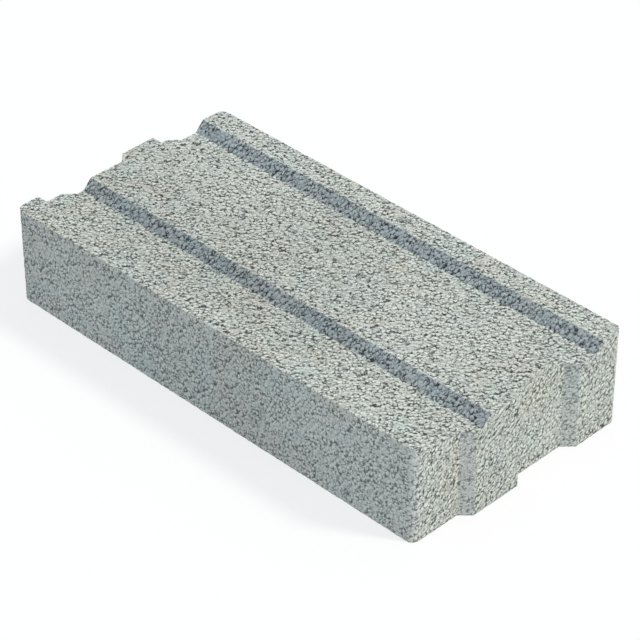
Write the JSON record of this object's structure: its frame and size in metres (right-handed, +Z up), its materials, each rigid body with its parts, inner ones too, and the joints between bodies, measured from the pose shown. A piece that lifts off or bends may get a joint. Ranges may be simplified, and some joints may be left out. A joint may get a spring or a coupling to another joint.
{
  "type": "concrete block",
  "caption": "Solid lightweight-concrete wall block with stepped ends that lock to the next block and grooves along its top for reinforcing bars in mortar.",
  "frame": {"origin": "middle of the underside, at the centre of the block's overall box", "axes": "+X along the length, +Y across the width to the back long face, +Z up as the block is laid, out of the grooved top"},
  "size_m": [0.61, 0.298, 0.12],
  "materials": {
    "concrete": "matte"
  },
  "bodies": {
    "root": {"block": "concrete"}
  },
  "joints": []
}
